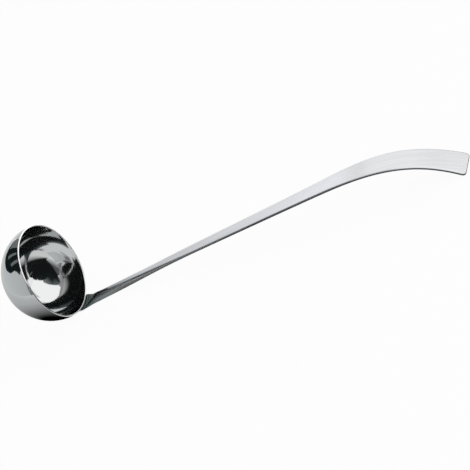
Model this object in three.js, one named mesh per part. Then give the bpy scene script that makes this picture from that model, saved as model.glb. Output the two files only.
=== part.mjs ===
// Plain kitchen ladle: a hemispherical bowl, a tapered handle whose end bends over into a hook, and the weld
// that joins them. Millimetres, +Z up. It lies on its back as on a table, bowl towards -X and tip towards +X,
// with the origin under the middle of its box.
//
// The pieces are modelled upright: the origin is the centre of the hemisphere, +Z runs along the bowl's axis
// out of its mouth, and the handle stands on the +X side. The group at the end lays the ladle down.
import * as THREE from "three";

// Bowl
const BOWL_RADIUS = 35; // outside
const BOWL_WALL = 1.2;
const RIM_HEIGHT = 1.8; // straight collar over the hemisphere, with the lip rounded over the wall

// Room left between pieces that touch
const SEAT_GAP = 0.3;

// Tongue and foot. Stations along the handle count from the rim: up the shank, or down the bowl if negative.
const TONGUE_LENGTH = 14;
const TONGUE_END_WIDTH = 4;
const FOOT_WIDTH = 16; // at the rim
const FOOT_THICKNESS = 1.4;
const FLARE_LENGTH = 7.3; // height in which the flare of the foot falls to about a third
const FLARE_SHARPNESS = 1.4;
const CUP_FADE = 12; // height in which the hollow of the foot's inner face flattens out

// Neck and shank
const STEP_IN = 2.5; // the shank steps in over the rim by this much
const NECK_HEIGHT = 13; // where the step ends and the handle is thickest
const NECK_WIDTH = 6.2;
const NECK_THICKNESS = 5.4;
const SHANK_LEAN = THREE.MathUtils.degToRad(1.4); // away from the bowl's axis
const TAPER_HEIGHT = 103; // the strip is thinned down to here
const STRIP_THICKNESS = 1.8;
const LOWER_WIDTH = 9.8; // where the thinning ends
const SHANK_LENGTH = 197; // from the rim to the start of the hook
const SHANK_END_WIDTH = 14;

// Hook, measured along the shank and square to it
const HOOK_REACH = 115;
const HOOK_RISE = 33.4;
const HOOK_ANGLE = THREE.MathUtils.degToRad(47.3); // between the shank and the tip
const HOOK_EASE_IN = 46.3; // how firmly the curve keeps to the shank
const HOOK_EASE_OUT = 48.9; // and to the direction of the tip
const HOOK_WIDTH = 19.1; // half way round
const SPREAD_START = 0.8; // share of the hook from where it spreads to the tip
const SPREAD_START_WIDTH = 20.3;
const TIP_WIDTH = 22.2;
const TIP_CORNER = 3;

// Rounding of the strip's long edges, as a share of its thickness there
const EDGE_SHARE = 0.32;

// Weld round the tongue
const WELD_LEG = 0.9;
const WELD_TOP = 1; // below the rim
const WELD_HOLLOW = 0.35; // how near its corner the face of the weld dips, as a share of the leg

// Fineness of the facets
const BOWL_SEGMENTS = 72;
const BOWL_RINGS = 14;
const LIP_STEPS = 6;
const EDGE_STEPS = 3;
const FACE_STEPS = 6;
const END_STEPS = 3;
const TONGUE_STEPS = 8;
const NECK_STEPS = 8;
const TAPER_STEPS = 14;
const SHANK_STEPS = 4;
const HOOK_STEPS = 22;
const CORNER_STEPS = 4;

const SEAT_RADIUS = BOWL_RADIUS + SEAT_GAP;
const QUARTER_TURN = Math.PI / 2;

// Value of a smooth ramp from 0 to 1.
function smoothRamp(t) {
  const u = THREE.MathUtils.clamp(t, 0, 1);
  return u * u * (3 - 2 * u);
}

// Value at s of a smooth curve through [station, value] pairs, level beyond both ends.
function curveThrough(pairs, s) {
  const last = pairs.length - 1;
  if (s <= pairs[0][0]) return pairs[0][1];
  if (s >= pairs[last][0]) return pairs[last][1];
  const i = pairs.findIndex(([station]) => station > s) - 1;
  const slopeAt = (k) => {
    if (k === 0) return 0;
    const before = pairs[k - 1];
    const after = pairs[Math.min(k + 1, last)];
    return (after[1] - before[1]) / (after[0] - before[0]);
  };
  const span = pairs[i + 1][0] - pairs[i][0];
  const t = (s - pairs[i][0]) / span;
  const rise = smoothRamp(t);
  const start = slopeAt(i) * span * t * (1 - t) ** 2;
  const end = slopeAt(i + 1) * span * t * t * (t - 1);
  return pairs[i][1] + (pairs[i + 1][1] - pairs[i][1]) * rise + start + end;
}

// The shank's inner face at y = 0, as x and z, without its step over the rim.
function shankPoint(station) {
  const x = SEAT_RADIUS - STEP_IN + station * Math.sin(SHANK_LEAN);
  const z = RIM_HEIGHT + station * Math.cos(SHANK_LEAN);
  return new THREE.Vector2(x, z);
}

// The hook's inner face at y = 0: one curve that leaves the shank in line with it.
function makeHook() {
  const along = new THREE.Vector2(Math.sin(SHANK_LEAN), Math.cos(SHANK_LEAN));
  const outward = new THREE.Vector2(along.y, -along.x);
  const tipAngle = SHANK_LEAN + HOOK_ANGLE;
  const tipWay = new THREE.Vector2(Math.sin(tipAngle), Math.cos(tipAngle));
  const start = shankPoint(SHANK_LENGTH);
  const end = start.clone().addScaledVector(along, HOOK_REACH).addScaledVector(outward, HOOK_RISE);
  const easeIn = start.clone().addScaledVector(along, HOOK_EASE_IN);
  const easeOut = end.clone().addScaledVector(tipWay, -HOOK_EASE_OUT);
  return new THREE.CubicBezierCurve(start, easeIn, easeOut, end);
}

const HOOK = makeHook();
const HOOK_LENGTH = HOOK.getLength();
const HANDLE_LENGTH = SHANK_LENGTH + HOOK_LENGTH;

const WIDTHS = [
  [NECK_HEIGHT, NECK_WIDTH],
  [TAPER_HEIGHT, LOWER_WIDTH],
  [SHANK_LENGTH, SHANK_END_WIDTH],
  [SHANK_LENGTH + HOOK_LENGTH / 2, HOOK_WIDTH],
  [SHANK_LENGTH + HOOK_LENGTH * SPREAD_START, SPREAD_START_WIDTH],
  [HANDLE_LENGTH, TIP_WIDTH],
];

// Point and slope of the inner face's middle line. The slope is measured from +Z towards +X.
function innerFace(station) {
  if (station > SHANK_LENGTH) {
    const u = Math.min((station - SHANK_LENGTH) / HOOK_LENGTH, 1);
    const point = HOOK.getPointAt(u);
    const way = HOOK.getTangentAt(u);
    return { x: point.x, z: point.y, slope: Math.atan2(way.x, way.y) };
  }
  if (station > 0) {
    const t = Math.min(station / NECK_HEIGHT, 1);
    const point = shankPoint(station);
    const stepSlope = (STEP_IN / NECK_HEIGHT) * 6 * t * (1 - t);
    return { x: point.x + STEP_IN * (1 - smoothRamp(t)), z: point.y, slope: SHANK_LEAN - stepSlope };
  }
  if (station > -RIM_HEIGHT) {
    return { x: SEAT_RADIUS, z: RIM_HEIGHT + station, slope: 0 };
  }
  const angle = (-station - RIM_HEIGHT) / SEAT_RADIUS;
  return { x: SEAT_RADIUS * Math.cos(angle), z: -SEAT_RADIUS * Math.sin(angle), slope: angle };
}

// Width of the strip: a rounded tongue below the rim, a flare above it, then the widening shank and hook.
function stripWidth(station) {
  if (station < 0) {
    const narrowing = 1 - (TONGUE_END_WIDTH / FOOT_WIDTH) ** 2;
    return FOOT_WIDTH * Math.sqrt(1 - narrowing * (station / TONGUE_LENGTH) ** 2);
  }
  const flare = (FOOT_WIDTH - NECK_WIDTH) * Math.exp(-((station / FLARE_LENGTH) ** FLARE_SHARPNESS));
  return curveThrough(WIDTHS, station) + flare;
}

// What the round corners of the tip take off each side.
function tipCornerInset(station) {
  const toStart = Math.max(station - (HANDLE_LENGTH - TIP_CORNER), 0);
  return TIP_CORNER - Math.sqrt(Math.max(TIP_CORNER ** 2 - toStart ** 2, 0));
}

function stripThickness(station) {
  if (station < NECK_HEIGHT) {
    return THREE.MathUtils.lerp(FOOT_THICKNESS, NECK_THICKNESS, smoothRamp(station / NECK_HEIGHT));
  }
  const thinning = smoothRamp((station - NECK_HEIGHT) / (TAPER_HEIGHT - NECK_HEIGHT));
  return THREE.MathUtils.lerp(NECK_THICKNESS, STRIP_THICKNESS, thinning);
}

// A point of the handle: across from its middle line and deep from its inner face. The foot is hollowed to
// lie on the bowl.
function placeOnHandle(station, across, depth) {
  const { x, z, slope } = innerFace(station);
  const hollow = SEAT_RADIUS - Math.sqrt(SEAT_RADIUS ** 2 - across ** 2);
  const out = depth - hollow * (1 - smoothRamp(station / CUP_FADE));
  return new THREE.Vector3(x + out * Math.cos(slope), across, z - out * Math.sin(slope));
}

// Outline of the strip at a station, as points round its rounded edges, drawn in all round by an inset.
function handleSection(station, inset) {
  const thickness = stripThickness(station);
  const radius = EDGE_SHARE * thickness;
  const side = stripWidth(station) / 2 - tipCornerInset(station) - radius;
  const edges = [
    [-side, radius],
    [-side, thickness - radius],
    [side, thickness - radius],
    [side, radius],
  ];
  const ring = [];
  edges.forEach(([across, depth], k) => {
    for (let i = 0; i <= EDGE_STEPS; i++) {
      const turn = -(k + 1 + i / EDGE_STEPS) * QUARTER_TURN;
      const reach = radius - inset;
      ring.push(placeOnHandle(station, across + reach * Math.cos(turn), depth + reach * Math.sin(turn)));
    }
    const onFace = k % 2 === 1;
    const faceDepth = k === 1 ? thickness - inset : inset;
    for (let i = 1; onFace && i < FACE_STEPS; i++) {
      ring.push(placeOnHandle(station, across * (1 - (2 * i) / FACE_STEPS), faceDepth));
    }
  });
  return ring;
}

// Evenly spaced stations from one to another, without the last.
function spaced(from, to, steps) {
  return Array.from({ length: steps }, (_, i) => from + ((to - from) * i) / steps);
}

// Rings of a rounded end: the edge turns over towards the end in small steps.
function roundedEnd(end, inwards) {
  const radius = EDGE_SHARE * stripThickness(end);
  const rings = [];
  for (let i = 1; i <= END_STEPS; i++) {
    const turn = (i / (END_STEPS + 1)) * QUARTER_TURN;
    const station = end + inwards * radius * (1 - Math.sin(turn));
    rings.push(handleSection(station, radius * (1 - Math.cos(turn))));
  }
  return rings;
}

function handleRings() {
  const footEdge = EDGE_SHARE * FOOT_THICKNESS;
  const tipEdge = EDGE_SHARE * STRIP_THICKNESS;
  const tongue = spaced(0, QUARTER_TURN, TONGUE_STEPS).map((a) => -(TONGUE_LENGTH - footEdge) * Math.cos(a));
  const corners = spaced(0, Math.asin(1 - tipEdge / TIP_CORNER), CORNER_STEPS).map(
    (a) => HANDLE_LENGTH - TIP_CORNER + TIP_CORNER * Math.sin(a),
  );
  const stations = [
    ...tongue,
    ...spaced(0, NECK_HEIGHT, NECK_STEPS),
    ...spaced(NECK_HEIGHT, TAPER_HEIGHT, TAPER_STEPS),
    ...spaced(TAPER_HEIGHT, SHANK_LENGTH, SHANK_STEPS),
    ...spaced(SHANK_LENGTH, HANDLE_LENGTH - TIP_CORNER, HOOK_STEPS),
    ...corners,
    HANDLE_LENGTH - tipEdge,
  ];
  return [
    ...roundedEnd(-TONGUE_LENGTH, 1).reverse(),
    ...stations.map((station) => handleSection(station, 0)),
    ...roundedEnd(HANDLE_LENGTH, -1),
  ];
}

// Closed surface through rings of equally many points, with a fan over each end.
function loft(rings) {
  const count = rings[0].length;
  const last = rings.length - 1;
  const points = rings.flat();
  const faces = [];
  for (let r = 0; r < last; r++) {
    for (let i = 0; i < count; i++) {
      const a = r * count + i;
      const b = r * count + ((i + 1) % count);
      faces.push(a, b, b + count, a, b + count, a + count);
    }
  }
  const middleOf = (ring) => ring.reduce((sum, p) => sum.add(p), new THREE.Vector3()).divideScalar(count);
  const firstMiddle = points.push(middleOf(rings[0])) - 1;
  const lastMiddle = points.push(middleOf(rings[last])) - 1;
  for (let i = 0; i < count; i++) {
    const next = (i + 1) % count;
    faces.push(firstMiddle, next, i);
    faces.push(lastMiddle, last * count + i, last * count + next);
  }
  const geometry = new THREE.BufferGeometry().setFromPoints(points);
  geometry.setIndex(faces);
  geometry.computeVertexNormals();
  return geometry;
}

// Bowl: one profile of even wall, turned about the axis.
function makeBowl() {
  const inner = BOWL_RADIUS - BOWL_WALL;
  const lip = BOWL_WALL / 2;
  const profile = [
    ...new THREE.EllipseCurve(0, 0, BOWL_RADIUS, BOWL_RADIUS, -QUARTER_TURN, 0).getPoints(BOWL_RINGS),
    ...new THREE.EllipseCurve(BOWL_RADIUS - lip, RIM_HEIGHT - lip, lip, lip, 0, Math.PI).getPoints(LIP_STEPS),
    ...new THREE.EllipseCurve(0, 0, inner, inner, 0, -QUARTER_TURN, true).getPoints(BOWL_RINGS),
  ];
  profile[0].x = 0;
  profile[profile.length - 1].x = 0;
  const geometry = new THREE.LatheGeometry(profile, BOWL_SEGMENTS);
  geometry.rotateX(QUARTER_TURN);
  const material = new THREE.MeshStandardMaterial({ color: 0xc3c8c8, metalness: 1, roughness: 0.08 });
  return namedMesh("bowl", geometry, material);
}

// Handle: tongue, foot, neck, shank and hook in one forged strip.
function makeHandle() {
  const material = new THREE.MeshStandardMaterial({ color: 0xd3d5d6, metalness: 1, roughness: 0.32 });
  return namedMesh("handle", loft(handleRings()), material);
}

// Edge of the tongue from the rim down one side, round its end and up the other, as [station, across].
function tongueEdge() {
  const topAngle = Math.acos(WELD_TOP / TONGUE_LENGTH);
  const stations = [...spaced(topAngle, 0, TONGUE_STEPS), 0].map((a) => -TONGUE_LENGTH * Math.cos(a));
  const oneSide = stations.map((station) => [station, stripWidth(station) / 2]);
  const otherSide = oneSide.map(([station, across]) => [station, -across]).reverse();
  return [...oneSide, ...otherSide];
}

// Weld: a hollow-faced bead in the corner between the tongue's edge and the bowl's wall.
function makeWeld() {
  const edge = tongueEdge().map(([station, across]) => placeOnHandle(station, across, -SEAT_GAP));
  const dip = WELD_HOLLOW * WELD_LEG;
  const section = [
    [0, 0],
    [WELD_LEG, 0],
    [dip, dip],
    [0, WELD_LEG],
  ];
  const rings = edge.map((point, i) => {
    const ahead = edge[Math.min(i + 1, edge.length - 1)];
    const behind = edge[Math.max(i - 1, 0)];
    const way = ahead.clone().sub(behind).normalize();
    const offWall = new THREE.Vector3(point.x, point.y, Math.min(point.z, 0)).normalize();
    const offEdge = offWall.clone().cross(way).normalize();
    return section.map(([side, up]) =>
      point
        .clone()
        .addScaledVector(offEdge, SEAT_GAP + side)
        .addScaledVector(offWall, SEAT_GAP + up),
    );
  });
  const material = new THREE.MeshStandardMaterial({ color: 0xb6babb, metalness: 1, roughness: 0.35 });
  return namedMesh("weld_fillet", loft(rings), material);
}

function namedMesh(name, geometry, material) {
  const mesh = new THREE.Mesh(geometry, material);
  mesh.name = name;
  return mesh;
}

// Angle between the bowl's axis and the table when the ladle lies on the back of its foot and its tip.
function restingTilt(meshes) {
  const points = meshes.flatMap(({ geometry }) => {
    const position = geometry.getAttribute("position");
    return Array.from({ length: position.count }, (_, i) => new THREE.Vector3().fromBufferAttribute(position, i));
  });
  const tip = points.reduce((best, p) => (p.x > best.x ? p : best));
  const bowlEnd = points.filter((p) => p.z < tip.z / 2);
  return Math.min(...bowlEnd.map((p) => Math.atan2(tip.x - p.x, tip.z - p.z)));
}

const meshes = [makeBowl(), makeHandle(), makeWeld()];
const upright = new THREE.Group();
upright.add(...meshes);
upright.rotation.y = QUARTER_TURN - restingTilt(meshes);

const box = new THREE.Box3().setFromObject(upright, true);
const middle = box.getCenter(new THREE.Vector3());
upright.position.set(-middle.x, -middle.y, -box.min.z);

const ladle = new THREE.Group();
ladle.add(upright);

export default ladle;
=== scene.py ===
"""Looks of the ladle: fine meshes for its three pieces, steel materials, a white studio and the camera.

The pieces are shaped upright in millimetres, as in the part's source: the origin is the centre of the
hemisphere, +Z runs along the bowl's axis out of its mouth, and the handle stands on the +X side. Then they
are laid down into the row frame, in metres. The studio is built in that frame.
"""

import math

import bmesh
import bpy
import numpy as np
from mathutils import Matrix, Vector


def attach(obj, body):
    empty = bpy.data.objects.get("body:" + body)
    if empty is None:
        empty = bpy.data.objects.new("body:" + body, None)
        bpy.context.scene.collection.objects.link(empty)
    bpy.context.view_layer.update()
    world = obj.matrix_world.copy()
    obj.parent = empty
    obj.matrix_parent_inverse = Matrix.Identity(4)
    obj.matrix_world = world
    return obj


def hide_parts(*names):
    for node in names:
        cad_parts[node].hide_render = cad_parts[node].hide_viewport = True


MM = 0.001
QUARTER_TURN = math.pi / 2

# Place of the upright pieces in the row frame
BOWL_CENTRE = np.array((-142.133, 0.0, 36.689))
RESTING_TILT = math.radians(6.919)

# Bowl
BOWL_RADIUS = 35.0
BOWL_WALL = 1.2
RIM_HEIGHT = 1.8
LIP_ROUNDING = 0.3

# Tongue and foot. Stations count from the rim: up the shank, or down the bowl if negative.
SEAT_GAP = 0.3
SEAT_RADIUS = BOWL_RADIUS + SEAT_GAP
TONGUE_LENGTH = 14.0
TONGUE_END_WIDTH = 4.0
FOOT_WIDTH = 16.0
FOOT_THICKNESS = 1.4
FLARE_LENGTH = 7.3
FLARE_SHARPNESS = 1.4
CUP_FADE = 12.0

# Neck and shank
STEP_IN = 2.5
NECK_HEIGHT = 13.0
NECK_WIDTH = 6.2
NECK_THICKNESS = 5.4
SHANK_LEAN = math.radians(1.4)
TAPER_HEIGHT = 103.0
STRIP_THICKNESS = 1.8
LOWER_WIDTH = 9.8
SHANK_LENGTH = 197.0
SHANK_END_WIDTH = 14.0

# Hook, measured along the shank and square to it. Its spread starts at a share of its length.
HOOK_REACH = 115.0
HOOK_RISE = 33.4
HOOK_ANGLE = math.radians(47.3)
HOOK_EASE_IN = 46.3
HOOK_EASE_OUT = 48.9
HOOK_WIDTH = 19.1
SPREAD_START = 0.8
SPREAD_START_WIDTH = 20.3
TIP_WIDTH = 22.2
TIP_CORNER = 3.0

# Rounding of the strip's edges: depth and spread by its thickness, and the most spread by its width
EDGE_SHARE = 0.32
EDGE_SPREAD = 0.9
EDGE_LIMIT = 0.34

# Weld bead: its legs, its top's distance below the rim, its bulge by its leg, and its ripples
WELD_LEG = 0.9
WELD_TOP = 1.0
WELD_BULGE = 0.2
WELD_RIPPLE = 0.06
WELD_RIPPLE_LENGTH = 1.3

# Fineness of the meshes
BOWL_SEGMENTS = 256
BOWL_RINGS = 96
LIP_RINGS = 8
EDGE_STEPS = 8
FACE_STEPS = 10
END_STEPS = 6
TONGUE_STEPS = 24
NECK_STEPS = 64
TAPER_STEPS = 32
SHANK_STEPS = 24
HOOK_STEPS = 96
CORNER_STEPS = 8
WELD_STEPS = 160
WELD_ARC_STEPS = 12

# Points closer together than this are one point, in metres
POLE_SIZE = 1e-7

# Steel colours
POLISHED_STEEL = (0.6, 0.61, 0.61)
# Painted highlight: lighter base colour of the bowl's lip
LIP_HIGHLIGHT_STEEL = (0.92, 0.92, 0.92)
SATIN_STEEL = (0.68, 0.685, 0.695)
# Painted shade: dark base colour at the handle's root
ROOT_SHADE_STEEL = (0.075, 0.105, 0.105)
# Painted shade: darker base colour on the sides of the thin strip
SIDE_SHADE_STEEL = (0.3, 0.315, 0.335)
WELD_STEEL = (0.6, 0.61, 0.6)

# Marks of the tools as noise: its scale round a piece, its scale along it, and its detail
POLISHING_RINGS = (15, 4000, 3)
SATIN_GRAIN = (9000, 90, 4)
BRUSH_STREAKS = (800, 12, 2)
WELD_GRIT = (5000, 5000, 3)

# What the marks do from the low to the high end of their noise
MARK_RANGE = (0.3, 0.7)
POLISHED_ROUGHNESS = (0.05, 0.09)
SATIN_ROUGHNESS = (0.17, 0.25)
WELD_ROUGHNESS = (0.28, 0.45)
STREAK_RANGE = (0.32, 0.68)
STREAK_TONES = (0.945, 1.035)

# Bump that the marks make: its strength, and its depth in metres
SATIN_BUMP = (0.05, 0.00001)
WELD_BUMP = (0.2, 0.00003)

# Finish of the handle, and its painted shade, by the distance from the tongue's end, in metres
FORGE_SCALE_ZONE = (0.016, 0.03)
FORGE_SCALE_ROUGHNESS = (0.35, 0)
# Painted shade at the root
ROOT_SHADE_ZONE = (0.018, 0.066)
BUFFED_ZONE = (0.03, 0.09)
BUFFED_SHARE = (0.4, 1)
# Painted shade on the sides, towards the tip
SIDE_SHADE_ZONE = (0.1, 0.2)

# Finish of the handle, and its painted shade, by how far its surface faces sideways
# Painted shade on the sideways-facing surface
SIDE_SHADE_FACING = (0.12, 0.5)
DULL_FACING = (0.35, 0.85)
DULL_ROUGHNESS = (0, 0.4)

# How far the gloss of the satin is drawn out by its grain
SATIN_ANISOTROPY = 0.5

# Half height of the lip that carries the painted highlight, with a little to spare
LIP_REACH = 1.02 * LIP_ROUNDING

# UV map that the grain follows, and the sockets of a Mix node that carry colours
GRAIN_MAP = "grain"
MIX_LOW = 6
MIX_HIGH = 7
MIX_RESULT = 2

# Floor, world and lamp. The lamp's place is right, up and back from the bowl as the camera sees it.
FLOOR_REACH = 6.0
FLOOR_WHITE = (0.9, 0.9, 0.9)
FLOOR_GLOW = 0.95
WORLD_LIGHT = 0.6
LAMP_SIZE = 1.2
LAMP_POWER = 1.87
LAMP_PLACE = (0.147, 0.632, 0.549)

# Colours of the studio cards, which paint reflections into the steel
BLACK = (0.008, 0.014, 0.014)
MIDDLE = (0.2, 0.22, 0.22)
GREY = (0.42, 0.41, 0.43)
LIGHT = (0.71, 0.735, 0.745)
WHITE = (1, 1, 1)
# Brighter than white, for painted highlights
BRIGHT = (1.3, 1.3, 1.3)
NEAR_TINT = (0.85, 1, 1)
DIM_TINT = (0.9, 1, 1)
STRIPE_TINT = (0.97, 1, 1)
SIDE_TINT = (0.98, 0.99, 1.02)

# Planes of the cards that face the camera, by their distance before the bowl's centre
NEAR_PLANE = 0.1
WEDGE_PLANE = 0.099
LEFT_PLANE = 0.447
LOW_PLANE = 0.45
DEEP_PLANE = 0.7
DIM_PLANE = 0.71
STRIPE_PLANE = 0.72

# Planes of the other cards: walls by x, those behind the handle by y at x = 0 and slope, the floor by layers
WALL_X = -0.6
WALL_TOP_X = -0.601
WINDOW_X = -0.598
BAR_X = -0.596
FAR_X = 0.88
SIDE_LINE = (0.655, 0.75)
BACK_LINE = (0.62, 0)
FLOOR_LAYER = 0.0001

# Painted shadow of the bowl on the floor card, round the place where the bowl rests: distance from it and
# tone there
SHADE_CENTRE = (-0.16, -0.02, 0)
SHADE_TONES = ((0.014, 0.0), (0.028, 0.17), (0.042, 0.31), (0.058, 0.44), (0.095, 0.6), (0.25, 0.71))
SHADE_TINT = (1, 1.02, 1.03)

# Camera, as fitted to the photograph
IMAGE_SIZE = 470
FOCAL_PIXELS = 3200
SENSOR_WIDTH = 36.0
CAMERA_TARGET = Vector((-0.02751, 0.03955, -0.0149))
CAMERA_DISTANCE = 2.24589
CAMERA_AZIMUTH = math.radians(33.007)
CAMERA_ELEVATION = math.radians(29.572)
CAMERA_ROLL = math.radians(37.871)


# Shapes


def ramp(t):
    """Smooth ramp from 0 to 1."""
    u = np.clip(t, 0, 1)
    return u * u * (3 - 2 * u)


def ramp_slope(t):
    """Slope of the smooth ramp."""
    u = np.clip(t, 0, 1)
    return 6 * u * (1 - u)


def mix(a, b, t):
    """Value between a and b."""
    return a + (b - a) * t


def lengths_along(points):
    """Length of a line of points up to each of them."""
    steps = np.linalg.norm(np.diff(points, axis=0), axis=1)
    return np.concatenate(([0], np.cumsum(steps)))


def unit(vectors):
    """Each row as a vector of length 1."""
    return vectors / np.linalg.norm(vectors, axis=1, keepdims=True)


def curve_through(pairs, s):
    """Smooth curve through (station, value) pairs, level beyond both ends."""
    stations, values = np.array(pairs).T
    last = len(stations) - 1
    slopes = np.zeros(len(stations))
    for k in range(1, last + 1):
        after = min(k + 1, last)
        slopes[k] = (values[after] - values[k - 1]) / (stations[after] - stations[k - 1])
    s = np.clip(s, stations[0], stations[-1])
    i = np.clip(np.searchsorted(stations, s, side="right") - 1, 0, last - 1)
    span = stations[i + 1] - stations[i]
    t = (s - stations[i]) / span
    bend = slopes[i] * span * t * (1 - t) ** 2 + slopes[i + 1] * span * t * t * (t - 1)
    return mix(values[i], values[i + 1], ramp(t)) + bend


def shank_point(station):
    """Inner face of the shank at y = 0, as x and z, without its step over the rim."""
    x = SEAT_RADIUS - STEP_IN + station * math.sin(SHANK_LEAN)
    z = RIM_HEIGHT + station * math.cos(SHANK_LEAN)
    return np.array((x, z))


class Hook:
    """The hook's inner face at y = 0: one curve that leaves the shank in line with it."""

    SAMPLES = 2001

    def __init__(self):
        along = np.array((math.sin(SHANK_LEAN), math.cos(SHANK_LEAN)))
        outward = np.array((along[1], -along[0]))
        tip_angle = SHANK_LEAN + HOOK_ANGLE
        tip_way = np.array((math.sin(tip_angle), math.cos(tip_angle)))
        start = shank_point(SHANK_LENGTH)
        end = start + along * HOOK_REACH + outward * HOOK_RISE
        ease_in = start + along * HOOK_EASE_IN
        ease_out = end - tip_way * HOOK_EASE_OUT
        u = np.linspace(0, 1, self.SAMPLES)[:, None]
        v = 1 - u
        self.points = start * v**3 + 3 * ease_in * u * v**2 + 3 * ease_out * u**2 * v + end * u**3
        ways = (ease_in - start) * v**2 + 2 * (ease_out - ease_in) * u * v + (end - ease_out) * u**2
        self.slopes = np.arctan2(ways[:, 0], ways[:, 1])
        self.arc = lengths_along(self.points)
        self.length = self.arc[-1]

    def at(self, distance):
        """Point and slope at a distance along the hook."""
        x = np.interp(distance, self.arc, self.points[:, 0])
        z = np.interp(distance, self.arc, self.points[:, 1])
        return x, z, np.interp(distance, self.arc, self.slopes)


HOOK = Hook()
HANDLE_LENGTH = SHANK_LENGTH + HOOK.length
WIDTHS = (
    (NECK_HEIGHT, NECK_WIDTH),
    (TAPER_HEIGHT, LOWER_WIDTH),
    (SHANK_LENGTH, SHANK_END_WIDTH),
    (SHANK_LENGTH + HOOK.length / 2, HOOK_WIDTH),
    (SHANK_LENGTH + HOOK.length * SPREAD_START, SPREAD_START_WIDTH),
    (HANDLE_LENGTH, TIP_WIDTH),
)


def inner_face(s):
    """Point and slope of the inner face's middle line. The slope is measured from +Z towards +X."""
    hook_x, hook_z, hook_slope = HOOK.at(s - SHANK_LENGTH)
    shank_x, shank_z = shank_point(s)
    shank_x = shank_x + STEP_IN * (1 - ramp(s / NECK_HEIGHT))
    shank_slope = SHANK_LEAN - STEP_IN / NECK_HEIGHT * ramp_slope(s / NECK_HEIGHT)
    angle = (-s - RIM_HEIGHT) / SEAT_RADIUS
    zones = [s > SHANK_LENGTH, s > 0, s > -RIM_HEIGHT]
    x = np.select(zones, [hook_x, shank_x, SEAT_RADIUS + 0 * s], SEAT_RADIUS * np.cos(angle))
    z = np.select(zones, [hook_z, shank_z, RIM_HEIGHT + s], -SEAT_RADIUS * np.sin(angle))
    slope = np.select(zones, [hook_slope, shank_slope, 0 * s], angle)
    return x, z, slope


def strip_width(s):
    """Width of the handle: a tongue that narrows to its end, the flare of the foot, and a widening strip."""
    narrowing = 1 - (TONGUE_END_WIDTH / FOOT_WIDTH) ** 2
    tongue = FOOT_WIDTH * np.sqrt(np.maximum(1 - narrowing * (s / TONGUE_LENGTH) ** 2, 0))
    flare = (FOOT_WIDTH - NECK_WIDTH) * np.exp(-((np.maximum(s, 0) / FLARE_LENGTH) ** FLARE_SHARPNESS))
    return np.where(s < 0, tongue, curve_through(WIDTHS, s) + flare)


def tip_corner_inset(s):
    """How far the rounded corners draw in the sides of the tip."""
    into_corner = np.maximum(s - (HANDLE_LENGTH - TIP_CORNER), 0)
    return TIP_CORNER - np.sqrt(np.maximum(TIP_CORNER**2 - into_corner**2, 0))


def strip_thickness(s):
    """Thickness of the handle, which is greatest at its neck."""
    swelling = mix(FOOT_THICKNESS, NECK_THICKNESS, ramp(s / NECK_HEIGHT))
    thinning = ramp((s - NECK_HEIGHT) / (TAPER_HEIGHT - NECK_HEIGHT))
    return np.where(s < NECK_HEIGHT, swelling, mix(NECK_THICKNESS, STRIP_THICKNESS, thinning))


def place_on_handle(s, across, depth):
    """Point of the handle, across from its middle line and deep from its inner face."""
    x, z, slope = inner_face(s)
    hollow = SEAT_RADIUS - np.sqrt(SEAT_RADIUS**2 - across**2)
    out = depth - hollow * (1 - ramp(s / CUP_FADE))
    return np.stack((x + out * np.cos(slope), across, z - out * np.sin(slope)), -1)


def handle_sections(s, inset):
    """Outlines of the strip at stations s, each drawn in all round by an inset, as [station, point, xyz]."""
    thickness = strip_thickness(s)
    width = strip_width(s)
    deep = EDGE_SHARE * thickness
    spread = np.minimum(EDGE_SPREAD * thickness, EDGE_LIMIT * width)
    side = width / 2 - tip_corner_inset(s) - spread
    edges = ((-side, deep), (-side, thickness - deep), (side, thickness - deep), (side, deep))
    # Depths of the two flat faces, by the edge that each follows
    face_depths = {1: thickness - inset, 3: inset}
    ring = []
    for k, (across, depth) in enumerate(edges):
        for i in range(EDGE_STEPS + 1):
            turn = -(k + 1 + i / EDGE_STEPS) * QUARTER_TURN
            out = (spread - inset) * math.cos(turn)
            down = (deep - inset) * math.sin(turn)
            ring.append(place_on_handle(s, across + out, depth + down))
        if k in face_depths:
            for i in range(1, FACE_STEPS):
                ring.append(place_on_handle(s, across * (1 - 2 * i / FACE_STEPS), face_depths[k]))
    return np.stack(ring, 1)


def rounded_end(end, inwards):
    """Sections where the strip's edge turns over at one of its ends, from the end inwards."""
    radius = EDGE_SHARE * float(strip_thickness(np.array(end)))
    turns = np.arange(END_STEPS, 0, -1) / (END_STEPS + 1) * QUARTER_TURN
    return handle_sections(end + inwards * radius * (1 - np.sin(turns)), radius * (1 - np.cos(turns)))


def steps_after(start, end, count):
    """Even steps from a start, which is left out, to an end."""
    return np.linspace(start, end, count + 1)[1:]


def handle_stations():
    """Stations of the handle between its rounded ends, closer together where its shape changes more."""
    tongue_turns = np.linspace(0, QUARTER_TURN, TONGUE_STEPS + 1)
    neck_end = 2 * NECK_HEIGHT
    corner_start = HANDLE_LENGTH - TIP_CORNER
    corner_turn = math.asin(1 - EDGE_SHARE * STRIP_THICKNESS / TIP_CORNER)
    return np.concatenate(
        (
            -(TONGUE_LENGTH - EDGE_SHARE * FOOT_THICKNESS) * np.cos(tongue_turns),
            steps_after(0, neck_end, NECK_STEPS),
            steps_after(neck_end, TAPER_HEIGHT, TAPER_STEPS),
            steps_after(TAPER_HEIGHT, SHANK_LENGTH, SHANK_STEPS),
            steps_after(SHANK_LENGTH, corner_start, HOOK_STEPS),
            corner_start + TIP_CORNER * np.sin(steps_after(0, corner_turn, CORNER_STEPS)),
        )
    )


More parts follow.
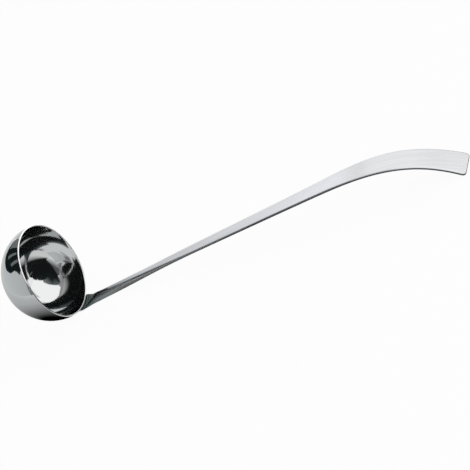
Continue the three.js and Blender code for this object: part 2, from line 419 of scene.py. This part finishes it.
def bowl_profile():
    """Half section of the bowl as radius and height: outside from the bottom up, lip, inside down again."""
    turn = np.linspace(-QUARTER_TURN, 0, BOWL_RINGS)
    quarter = np.stack((np.cos(turn), np.sin(turn)), 1)
    inner_radius = BOWL_RADIUS - BOWL_WALL
    over = np.linspace(0, QUARTER_TURN, LIP_RINGS)
    draw_in = LIP_ROUNDING * (1 - np.cos(over))
    level = RIM_HEIGHT - LIP_ROUNDING * (1 - np.sin(over))
    outer_lip = np.stack((BOWL_RADIUS - draw_in, level), 1)
    inner_lip = np.stack((inner_radius + draw_in, level), 1)
    return np.concatenate((quarter * BOWL_RADIUS, outer_lip, inner_lip[::-1], quarter[::-1] * inner_radius))


def weld_corner():
    """The corner at the tongue's edge on the bowl: its line, and the ways off the edge and off the wall."""
    top = math.acos(WELD_TOP / TONGUE_LENGTH)
    turn = np.linspace(-top, top, WELD_STEPS + 1)
    stations = -TONGUE_LENGTH * np.cos(turn)
    line = place_on_handle(stations, np.sign(turn) * strip_width(stations) / 2, 0 * stations)
    off_wall = line.copy()
    off_wall[:, 2] = np.minimum(off_wall[:, 2], 0)
    off_wall = unit(off_wall)
    off_edge = np.cross(unit(np.gradient(line, axis=0)), off_wall)
    return line, off_edge, off_wall


# Meshes


def new_object(name, data):
    """A new object of the scene."""
    obj = bpy.data.objects.new(name, data)
    bpy.context.scene.collection.objects.link(obj)
    return obj


def lay_down(points):
    """Upright millimetres to metres in the row frame."""
    x, y, z = points[..., 0], points[..., 1], points[..., 2]
    sine, cosine = math.sin(RESTING_TILT), math.cos(RESTING_TILT)
    row = np.stack((x * sine + z * cosine, y, z * sine - x * cosine), -1) + BOWL_CENTRE
    return row * MM


def add_grain_map(mesh, rows):
    """UV map in metres: u round each row, and v from row to row along the line of their middles."""
    count, around = rows.shape[:2]
    closed = np.concatenate((rows, rows[:, :1]), axis=1)
    u = np.zeros((count, around + 1))
    u[:, 1:] = np.cumsum(np.linalg.norm(np.diff(closed, axis=1), axis=2), axis=1)
    v = lengths_along(rows.mean(axis=1))
    layer = mesh.uv_layers.new(name=GRAIN_MAP).data
    for polygon in mesh.polygons[: (count - 1) * around]:
        r, i = divmod(polygon.index, around)
        corners = ((r, i), (r, i + 1), (r + 1, i + 1), (r + 1, i))
        for loop, (row, column) in zip(polygon.loop_indices, corners):
            layer[loop].uv = (u[row, column] * MM, v[row] * MM)


def grid_mesh(name, rows, closed_ends):
    """Smooth mesh through rows of points that close on themselves, with the UV map of its grain."""
    count, around = rows.shape[:2]
    faces = []
    for r in range(count - 1):
        for i in range(around):
            j = (i + 1) % around
            faces.append((r * around + i, r * around + j, (r + 1) * around + j, (r + 1) * around + i))
    if closed_ends:
        faces.append(tuple(range(around - 1, -1, -1)))
        faces.append(tuple(range((count - 1) * around, count * around)))
    mesh = bpy.data.meshes.new(name)
    mesh.from_pydata(lay_down(rows.reshape(-1, 3)).tolist(), [], faces, shade_flat=False)
    add_grain_map(mesh, rows)
    return new_object(name, mesh)


def join_poles(obj):
    """Makes one point of each ring that has no size, where the mesh runs to a pole."""
    grid = bmesh.new()
    grid.from_mesh(obj.data)
    bmesh.ops.remove_doubles(grid, verts=grid.verts, dist=POLE_SIZE)
    grid.to_mesh(obj.data)
    grid.free()


def make_bowl():
    """The bowl: its half section turned about its axis."""
    profile = bowl_profile()
    radius, height = profile[:, :1], profile[:, 1:]
    angle = np.linspace(0, 2 * math.pi, BOWL_SEGMENTS, endpoint=False)
    rows = np.stack((radius * np.cos(angle), radius * np.sin(angle), height + 0 * angle), -1)
    bowl = grid_mesh("polished_bowl", rows, closed_ends=False)
    join_poles(bowl)
    bowl.data.materials.append(polished_steel())
    return bowl


def make_handle():
    """The handle: one strip from the tongue's end to the tip of the hook."""
    stations = handle_stations()
    rows = np.concatenate(
        (
            rounded_end(-TONGUE_LENGTH, 1),
            handle_sections(stations, 0 * stations),
            rounded_end(HANDLE_LENGTH, -1)[::-1],
        )
    )
    handle = grid_mesh("forged_handle", rows, closed_ends=True)
    handle.modifiers.new("flat_faces", "WEIGHTED_NORMAL")
    handle.data.materials.append(satin_steel())
    return handle


def make_weld():
    """Bead in the corner between the tongue's edge and the bowl, with the ripples of the weld pool."""
    line, off_edge, off_wall = weld_corner()
    ripple = 1 + WELD_RIPPLE * np.sin(2 * math.pi * lengths_along(line) / WELD_RIPPLE_LENGTH)
    lines = [line]
    for i in range(WELD_ARC_STEPS, -1, -1):
        angle = i / WELD_ARC_STEPS * QUARTER_TURN
        bulge = 1 - WELD_BULGE * (1 - math.sin(2 * angle))
        reach = (WELD_LEG * bulge * ripple)[:, None]
        lines.append(line + reach * (math.cos(angle) * off_edge + math.sin(angle) * off_wall))
    weld = grid_mesh("weld_bead", np.stack(lines, 1), closed_ends=True)
    weld.data.materials.append(weld_steel())
    return weld


# Shader nodes


def map_range(tree, value, span, levels=(0, 1)):
    """Runs a value's span over other levels, and keeps it level beyond both ends."""
    node = tree.nodes.new("ShaderNodeMapRange")
    for name, level in zip(("From Min", "From Max", "To Min", "To Max"), (*span, *levels)):
        node.inputs[name].default_value = level
    tree.links.new(value, node.inputs["Value"])
    return node.outputs["Result"]


def combine(tree, operation, *values):
    """Output of a math node over other nodes' outputs."""
    node = tree.nodes.new("ShaderNodeMath")
    node.operation = operation
    for socket, value in zip(node.inputs, values):
        tree.links.new(value, socket)
    return node.outputs["Value"]


def mix_colours(tree, factor, low, high):
    """Colour between two others, of which each is a colour or another node's output."""
    node = tree.nodes.new("ShaderNodeMix")
    node.data_type = "RGBA"
    tree.links.new(factor, node.inputs["Factor"])
    for socket, colour in ((node.inputs[MIX_LOW], low), (node.inputs[MIX_HIGH], high)):
        if isinstance(colour, tuple):
            socket.default_value = (*colour, 1)
        else:
            tree.links.new(colour, socket)
    return node.outputs[MIX_RESULT]


def colour_ramp(tree, value, stops):
    """Colour of a value between stops, each a position and a colour, in rising order."""
    node = tree.nodes.new("ShaderNodeValToRGB")
    elements = node.color_ramp.elements
    while len(elements) < len(stops):
        elements.new(1)
    for element, (position, colour) in zip(elements, stops):
        element.position = position
        element.color = (*colour, 1)
    tree.links.new(value, node.inputs["Fac"])
    return node.outputs["Color"]


def part_of(tree, vector, axis):
    """One axis of a vector."""
    node = tree.nodes.new("ShaderNodeSeparateXYZ")
    tree.links.new(vector, node.inputs["Vector"])
    return node.outputs[axis]


def from_position(tree, operation, vector):
    """Output of a vector math node over the position on the surface and a fixed vector."""
    node = tree.nodes.new("ShaderNodeVectorMath")
    node.operation = operation
    tree.links.new(tree.nodes.new("ShaderNodeNewGeometry").outputs["Position"], node.inputs[0])
    node.inputs[1].default_value = vector
    return node.outputs["Value"]


def grain_map(tree):
    """Place on the surface, round it and along it, in metres."""
    uv = tree.nodes.new("ShaderNodeUVMap")
    uv.uv_map = GRAIN_MAP
    return uv.outputs["UV"]


def stretched_noise(tree, across_scale, along_scale, detail):
    """Noise over the grain map, with a scale of its own for each direction."""
    mapping = tree.nodes.new("ShaderNodeMapping")
    mapping.inputs["Scale"].default_value = (across_scale, along_scale, 1)
    noise = tree.nodes.new("ShaderNodeTexNoise")
    noise.noise_dimensions = "2D"
    noise.inputs["Scale"].default_value = 1
    noise.inputs["Detail"].default_value = detail
    tree.links.new(grain_map(tree), mapping.inputs["Vector"])
    tree.links.new(mapping.outputs["Vector"], noise.inputs["Vector"])
    return noise.outputs["Fac"]


def add_bump(tree, shader, value, strength, depth):
    """Raises a shader's surface where a value is high."""
    bump = tree.nodes.new("ShaderNodeBump")
    bump.inputs["Strength"].default_value = strength
    bump.inputs["Distance"].default_value = depth
    tree.links.new(value, bump.inputs["Height"])
    tree.links.new(bump.outputs["Normal"], shader.inputs["Normal"])


# Materials


def metal(name):
    """A bare metal: its material, node tree and main shader."""
    material = bpy.data.materials.new(name)
    material.use_nodes = True
    shader = material.node_tree.nodes["Principled BSDF"]
    shader.inputs["Metallic"].default_value = 1
    return material, material.node_tree, shader


def polished_steel():
    """Mirror polish with the faint rings of the polishing wheel, and a painted highlight along the lip: a
    lighter base colour there.
    """
    material, tree, shader = metal("polished_steel")
    rings = stretched_noise(tree, *POLISHING_RINGS)
    roughness = map_range(tree, rings, MARK_RANGE, POLISHED_ROUGHNESS)
    tree.links.new(roughness, shader.inputs["Roughness"])
    # The lip is where the grain map has run from the bottom of the bowl up to its rim
    lip = combine(tree, "COMPARE", part_of(tree, grain_map(tree), "Y"))
    lip.node.inputs[1].default_value = (BOWL_RADIUS + RIM_HEIGHT) * MM
    lip.node.inputs[2].default_value = LIP_REACH * MM
    # Painted highlight: the lip takes the lighter base colour
    tree.links.new(mix_colours(tree, lip, POLISHED_STEEL, LIP_HIGHLIGHT_STEEL), shader.inputs["Base Color"])
    return material


def satin_colour(tree, height, sideways):
    """Brush streaks in the steel, with painted shade: dark at the root, and darker sides along the thin
    strip.
    """
    tones = [[tone * part for part in SATIN_STEEL] for tone in STREAK_TONES]
    stops = list(zip(STREAK_RANGE, tones))
    brushed = colour_ramp(tree, stretched_noise(tree, *BRUSH_STREAKS), stops)
    # Painted shade: the root's colour is darkened
    root_shaded = mix_colours(tree, map_range(tree, height, ROOT_SHADE_ZONE), ROOT_SHADE_STEEL, brushed)
    # Painted shade: the sideways-facing surface of the thin strip is darker
    edge = map_range(tree, sideways, SIDE_SHADE_FACING)
    thin = map_range(tree, height, SIDE_SHADE_ZONE)
    return mix_colours(tree, combine(tree, "MULTIPLY", edge, thin), root_shaded, SIDE_SHADE_STEEL)


def satin_roughness(tree, grain, height, sideways):
    """Roughness of the grain, shinier near the root, and duller on the sides and under the forge's scale."""
    finish = map_range(tree, grain, MARK_RANGE, SATIN_ROUGHNESS)
    buffed = map_range(tree, height, BUFFED_ZONE, BUFFED_SHARE)
    sides = map_range(tree, sideways, DULL_FACING, DULL_ROUGHNESS)
    scale = map_range(tree, height, FORGE_SCALE_ZONE, FORGE_SCALE_ROUGHNESS)
    added = combine(tree, "MAXIMUM", sides, scale)
    return combine(tree, "ADD", combine(tree, "MULTIPLY", finish, buffed), added)


def satin_steel():
    """Satin finish with its grain along the handle."""
    material, tree, shader = metal("satin_steel")
    grain = stretched_noise(tree, *SATIN_GRAIN)
    height = part_of(tree, grain_map(tree), "Y")
    facing = tree.nodes.new("ShaderNodeNewGeometry").outputs["Normal"]
    sideways = combine(tree, "ABSOLUTE", part_of(tree, facing, "Y"))
    tree.links.new(satin_colour(tree, height, sideways), shader.inputs["Base Color"])
    tree.links.new(satin_roughness(tree, grain, height, sideways), shader.inputs["Roughness"])
    add_bump(tree, shader, grain, *SATIN_BUMP)
    shader.inputs["Anisotropic"].default_value = SATIN_ANISOTROPY
    tangent = tree.nodes.new("ShaderNodeTangent")
    tangent.direction_type = "UV_MAP"
    tangent.uv_map = GRAIN_MAP
    tree.links.new(tangent.outputs["Tangent"], shader.inputs["Tangent"])
    return material


def weld_steel():
    """Dressed weld metal, duller than the steel beside it."""
    material, tree, shader = metal("weld_steel")
    shader.inputs["Base Color"].default_value = (*WELD_STEEL, 1)
    grit = stretched_noise(tree, *WELD_GRIT)
    tree.links.new(map_range(tree, grit, MARK_RANGE, WELD_ROUGHNESS), shader.inputs["Roughness"])
    add_bump(tree, shader, grit, *WELD_BUMP)
    return material


# Floor and world


def shown_rays(tree):
    """1 for the rays of the camera, mirrors and glass, and 0 for those that only carry light."""
    path = tree.nodes.new("ShaderNodeLightPath").outputs
    mirrored = combine(tree, "MAXIMUM", path["Is Glossy Ray"], path["Is Transmission Ray"])
    return combine(tree, "MAXIMUM", path["Is Camera Ray"], mirrored)


def make_world():
    """White all round where it is seen, and a softer white as light."""
    world = bpy.data.worlds.new("white_studio")
    world.use_nodes = True
    tree = world.node_tree
    background = tree.nodes["Background"]
    background.inputs["Color"].default_value = (*WHITE, 1)
    strength = map_range(tree, shown_rays(tree), (0, 1), (WORLD_LIGHT, 1))
    tree.links.new(strength, background.inputs["Strength"])
    bpy.context.scene.world = world


def empty_material(name):
    """A material without a shader: the material, its node tree and the socket for its surface."""
    material = bpy.data.materials.new(name)
    material.use_nodes = True
    tree = material.node_tree
    tree.nodes.remove(tree.nodes["Principled BSDF"])
    return material, tree, tree.nodes["Material Output"].inputs["Surface"]


def white_floor():
    """White paper that glows in the picture, with enough of its shading left to keep the shadow."""
    material, tree, surface = empty_material("white_floor")
    paper = tree.nodes.new("ShaderNodeBsdfDiffuse")
    paper.inputs["Color"].default_value = (*FLOOR_WHITE, 1)
    glow = tree.nodes.new("ShaderNodeEmission")
    seen = tree.nodes.new("ShaderNodeMixShader")
    share = map_range(tree, shown_rays(tree), (0, 1), (0, FLOOR_GLOW))
    tree.links.new(share, seen.inputs["Fac"])
    tree.links.new(paper.outputs["BSDF"], seen.inputs[1])
    tree.links.new(glow.outputs["Emission"], seen.inputs[2])
    tree.links.new(seen.outputs["Shader"], surface)
    return material


def flat_stage(name, corners, material):
    """A flat stage object through corner points in metres."""
    mesh = bpy.data.meshes.new(name)
    mesh.from_pydata([tuple(c) for c in corners], [], [tuple(range(len(corners)))])
    mesh.materials.append(material)
    obj = new_object(name, mesh)
    return obj


def make_floor():
    """The floor that the ladle lies on."""
    signs = ((-1, -1), (1, -1), (1, 1), (-1, 1))
    flat_stage("floor", [(x * FLOOR_REACH, y * FLOOR_REACH, 0) for x, y in signs], white_floor())


# Camera and planes


def camera_axes():
    """Right, up and back of the camera in the row frame."""
    azimuth, elevation = CAMERA_AZIMUTH, CAMERA_ELEVATION
    flat = math.cos(elevation)
    back = Vector((math.sin(azimuth) * flat, -math.cos(azimuth) * flat, math.sin(elevation)))
    level_right = Vector((math.cos(azimuth), math.sin(azimuth), 0))
    level_up = back.cross(level_right)
    right = level_right * math.cos(CAMERA_ROLL) - level_up * math.sin(CAMERA_ROLL)
    up = level_up * math.cos(CAMERA_ROLL) + level_right * math.sin(CAMERA_ROLL)
    return right, up, back


def make_camera():
    """The camera of the photograph."""
    data = bpy.data.cameras.new("camera")
    data.sensor_width = SENSOR_WIDTH
    data.lens = SENSOR_WIDTH * FOCAL_PIXELS / IMAGE_SIZE
    camera = new_object("camera", data)
    right, up, back = camera_axes()
    turn = Matrix((right, up, back)).transposed()
    camera.matrix_world = Matrix.Translation(CAMERA_TARGET + back * CAMERA_DISTANCE) @ turn.to_4x4()
    bpy.context.scene.camera = camera


def from_bowl(right_by, up_by, back_by):
    """Point at distances from the bowl's centre along the camera's axes."""
    right, up, back = camera_axes()
    return Vector(BOWL_CENTRE * MM) + right * right_by + up * up_by + back * back_by


def facing_camera(back):
    """Plane before the bowl that the camera looks at squarely, with points right and up from the bowl."""
    return lambda right, up: from_bowl(right, up, back)


def on_floor(layer):
    """Plane just above the floor, with points by x and y."""
    return lambda x, y: Vector((x, y, layer * FLOOR_LAYER))


def on_wall(x):
    """Upright plane across the ladle's length, with points by y and z."""
    return lambda y, z: Vector((x, y, z))


def behind_handle(middle, slope):
    """Upright plane along the ladle's length, or at a slope to it, with points by x and z."""
    return lambda x, z: Vector((x, middle + slope * x, z))


# Studio cards


def run_between(tree, start, end, levels):
    """Level that runs from one point in the studio to another."""
    way = (end - start).normalized()
    along = from_position(tree, "DOT_PRODUCT", way)
    return map_range(tree, along, (start.dot(way), end.dot(way)), levels)


def card(name, plane, outline, colour=WHITE, fade=None):
    """A self-lit studio card that only shows in polished metal, as a painted reflection: it takes no light
    and throws no shadow.

    Its outline is made of points on the plane. A fade is two such points, each with its strength of paint.
    Returns the node tree of its material and the paint in it.
    """
    material, tree, surface = empty_material(name)
    material.cycles.emission_sampling = "NONE"
    # Painted reflection: the card glows with its own colour
    paint = tree.nodes.new("ShaderNodeEmission")
    paint.inputs["Color"].default_value = (*colour, 1)
    tree.links.new(paint.outputs["Emission"], surface)
    obj = flat_stage(name, [plane(*point) for point in outline], material)
    obj.visible_camera = False
    obj.visible_diffuse = False
    obj.visible_transmission = False
    obj.visible_shadow = False
    if fade:
        (start, low), (end, high) = fade
        strength = run_between(tree, plane(*start), plane(*end), (low, high))
        tree.links.new(strength, paint.inputs["Strength"])
    return tree, paint


def make_near_cards():
    """Dark cards close before the bowl's mouth, which show inside the bowl and get lighter upwards."""
    front = [
        (-0.05, 0.066), (-0.034, 0.083), (0.0, 0.079), (0.0, -0.012), (0.008, -0.004), (0.024, 0.02),
        (0.045, 0.025), (0.062, 0.028), (0.085, 0.034), (0.093, 0.06), (0.133, 0.058), (0.133, -0.033),
        (0.066, -0.075), (0.033, -0.066), (0.0, -0.027), (-0.03, 0.02),
    ]
    lighter_up = (((0, 0.05), 0.012), ((0, 0.08), 0.16))
    card("front_card", facing_camera(NEAR_PLANE), front, NEAR_TINT, lighter_up)
    wedge = [
        (0.008, 0.003), (-0.004, 0.036), (-0.014, 0.077), (-0.036, 0.077), (-0.036, 0.06), (-0.018, 0.03),
    ]
    lighter_up = (((0, 0.035), 0.012), ((0, 0.075), 0.165))
    card("front_wedge", facing_camera(WEDGE_PLANE), wedge, NEAR_TINT, lighter_up)


def make_room_cards():
    """The room on the camera's side, seen inside the bowl: black to the right, dim above, light below."""
    deep = [
        (-0.03, -0.11), (0.016, -0.14), (0.05, -0.18), (0.21, -0.16), (0.215, 0.0), (0.15, 0.085),
        (0.247, 0.108), (0.34, 0.125), (0.466, 0.155), (0.521, 0.16), (0.521, 0.351), (0.384, 0.338),
        (0.318, 0.316), (0.247, 0.285), (0.187, 0.253), (0.153, 0.197), (0.115, 0.132), (0.066, 0.055),
        (-0.03, -0.06),
    ]
    card("deep_card", facing_camera(DEEP_PLANE), deep, BLACK)
    dim = [
        (-0.02, -0.11), (0.0, -0.11), (0.213, 0.107), (0.318, 0.316), (0.3, 0.4), (0.1, 0.48), (-0.2, 0.48),
        (-0.2, 0.2), (-0.15, 0.1),
    ]
    lighter_out = (((0.15, 0.15), 0.015), ((0.3, 0.3), 0.26))
    card("dim_card", facing_camera(DIM_PLANE), dim, DIM_TINT, lighter_out)
    stripe = [(-0.32, -0.42), (0.28, -0.42), (0.28, -0.17), (0.1, -0.17), (0.1, 0.14), (-0.32, 0.14)]
    darker_up = (((-0.183, -0.3), 0.95), ((-0.082, -0.133), 0.13))
    card("stripe_card", facing_camera(STRIPE_PLANE), stripe, STRIPE_TINT, darker_up)
    low = [(0.3, 0.2), (0.8, 0.2), (0.8, -0.35), (0.3, -0.1)]
    card("low_card", facing_camera(LOW_PLANE), low, BLACK)
    left = [(-0.15, -0.1), (-0.15, 0.33), (-0.22, 0.4), (-0.3, 1.2), (-0.8, 1.2), (-0.8, -0.1)]
    card("left_card", facing_camera(LEFT_PLANE), left, GREY)


def make_far_cards():
    """The far end of the room, beyond the handle's tip."""
    far = [(-0.5, 0.02), (0.12, 0.02), (0.29, 0.27), (-0.5, 0.27)]
    card("far_card", on_wall(FAR_X), far, BRIGHT)
    far_side = [(0.12, 0.0), (0.7, 0.0), (0.7, 0.86)]
    card("far_side_card", on_wall(FAR_X), far_side, GREY)


def make_wall_cards():
    """Light wall beyond the bowl with a dark window in it."""
    wall = [(-0.66, 0.0), (0.5, 0.0), (0.5, 0.66), (-0.66, 0.66)]
    card("wall_card", on_wall(WALL_X), wall, LIGHT, (((-0.66, 0), 0.85), ((0, 0), 1)))
    top = [(-1.8, 0.0), (-0.66, 0.0), (-0.66, 0.66), (0.6, 0.66), (0.6, 1.2), (-1.8, 1.2)]
    card("wall_top", on_wall(WALL_TOP_X), top, MIDDLE)
    window = [
        (-0.33, 0.66), (-0.33, 0.44), (-0.2, 0.41), (-0.12, 0.36), (-0.05, 0.24), (0.09, 0.16), (0.3, 0.11),
        (0.46, 0.18), (0.6, 0.3), (0.6, 0.66),
    ]
    card("window_card", on_wall(WINDOW_X), window, BLACK)
    bars = (
        [(-0.08, 0.6), (0.0, 0.6), (0.05, 0.32), (0.0, 0.32)],
        [(0.13, 0.55), (0.18, 0.55), (0.22, 0.24), (0.17, 0.24)],
        [(0.28, 0.66), (0.6, 0.66), (0.6, 0.32), (0.46, 0.21), (0.34, 0.2)],
    )
    for number, bar in enumerate(bars):
        card(f"window_bar_{number}", on_wall(BAR_X), bar, MIDDLE)


def make_floor_card():
    """Painted shadow of the bowl on the floor round it, as the steel shows it, darkest where the bowl rests.
    """
    floor = [(-1.0, -0.9), (-0.14, -0.9), (-0.14, 0.05), (-0.2, 0.5), (-1.0, 0.5)]
    tree, paint = card("floor_card", on_floor(3), floor)
    # Painted shadow: the card's colour darkens towards where the bowl rests
    stops = [(reach, [tone * part for part in SHADE_TINT]) for reach, tone in SHADE_TONES]
    distance = from_position(tree, "DISTANCE", SHADE_CENTRE)
    tree.links.new(colour_ramp(tree, distance, [*stops, (1, WHITE)]), paint.inputs["Color"])


def make_table_cards():
    """The rest of the floor as the steel shows it: light by the bowl's mouth, painted shade under the handle,
    and grey and painted highlights behind it.
    """
    table = [(-0.14, 0.0), (-0.14, -0.9), (0.25, -0.9), (0.25, 0.1), (0.0, 0.1), (-0.1, 0.06), (-0.125, 0.02)]
    # Painted shade: the table card fades to dark under the handle
    card("table_card", on_floor(4), table, WHITE, (((-0.127, 0), 0.9), ((-0.108, 0.007), 0.012)))
    far_table = [(0.25, -0.9), (0.9, -0.9), (0.9, 0.1), (0.25, 0.1)]
    card("far_table_card", on_floor(4), far_table, MIDDLE)
    grey = [(0.0, 0.1), (0.08, 0.25), (0.5, 0.6), (0.5, 0.1)]
    card("back_floor", on_floor(5), grey, MIDDLE)
    bright = [(-0.13, 0.03), (-0.1, 0.065), (0.0, 0.1), (0.08, 0.25), (0.0, 0.6), (-0.5, 0.6), (-0.22, 0.1)]
    # Painted highlights: the bright floor and the lip floor glow brighter than white
    card("bright_floor", on_floor(6), bright, BRIGHT)
    lip = [
        (-0.13, 0.03), (-0.1, 0.065), (-0.075, 0.095), (-0.05, 0.12), (-0.032, 0.13), (-0.02, 0.17),
        (-0.1, 0.2), (-0.2, 0.1),
    ]
    card("lip_floor", on_floor(7), lip, GREY, (((-0.11, 0.08), 1), ((-0.154, 0.115), 2.9)))


def make_back_cards():
    """Light cards behind the handle, which show along its face and at its root."""
    side = [(-0.43, 0.05), (-0.22, 0.05), (-0.22, 0.5), (-0.43, 0.5)]
    card("side_card", behind_handle(*SIDE_LINE), side, SIDE_TINT, (((-0.4, 0), 0.72), ((-0.24, 0), 1.2)))
    back = [(-0.22, 0.1), (0.4, 0.1), (0.4, 1.0), (-0.22, 1.0)]
    card("back_card", behind_handle(*BACK_LINE), back, WHITE, (((0.15, 0), 1.15), ((0.4, 0), 1)))


def make_softbox():
    """The lamp: a square softbox above and before the bowl, aimed at it."""
    light = bpy.data.lights.new("softbox", "AREA")
    light.size = LAMP_SIZE
    light.energy = LAMP_POWER
    lamp = new_object("softbox", light)
    lamp.location = from_bowl(*LAMP_PLACE)
    aim = Vector(BOWL_CENTRE * MM) - lamp.location
    lamp.rotation_euler = aim.to_track_quat("-Z", "Y").to_euler()
    lamp.visible_camera = False


def make_studio():
    """World, floor, cards and lamp."""
    make_world()
    make_floor()
    make_near_cards()
    make_room_cards()
    make_far_cards()
    make_wall_cards()
    make_floor_card()
    make_table_cards()
    make_back_cards()
    make_softbox()


def dress(piece, node):
    """Puts a fine piece in the place of its CAD node."""
    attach(piece, "root")
    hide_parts(node)


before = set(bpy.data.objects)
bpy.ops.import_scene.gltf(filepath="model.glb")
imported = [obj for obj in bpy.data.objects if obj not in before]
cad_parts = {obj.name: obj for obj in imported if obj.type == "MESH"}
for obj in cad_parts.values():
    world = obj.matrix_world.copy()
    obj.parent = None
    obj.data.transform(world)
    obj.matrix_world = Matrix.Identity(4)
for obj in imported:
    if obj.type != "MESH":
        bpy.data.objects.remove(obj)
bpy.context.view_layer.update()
dress(make_bowl(), "bowl")
dress(make_handle(), "handle")
dress(make_weld(), "weld_fillet")
make_studio()
make_camera()
bpy.context.scene.view_settings.view_transform = "Standard"
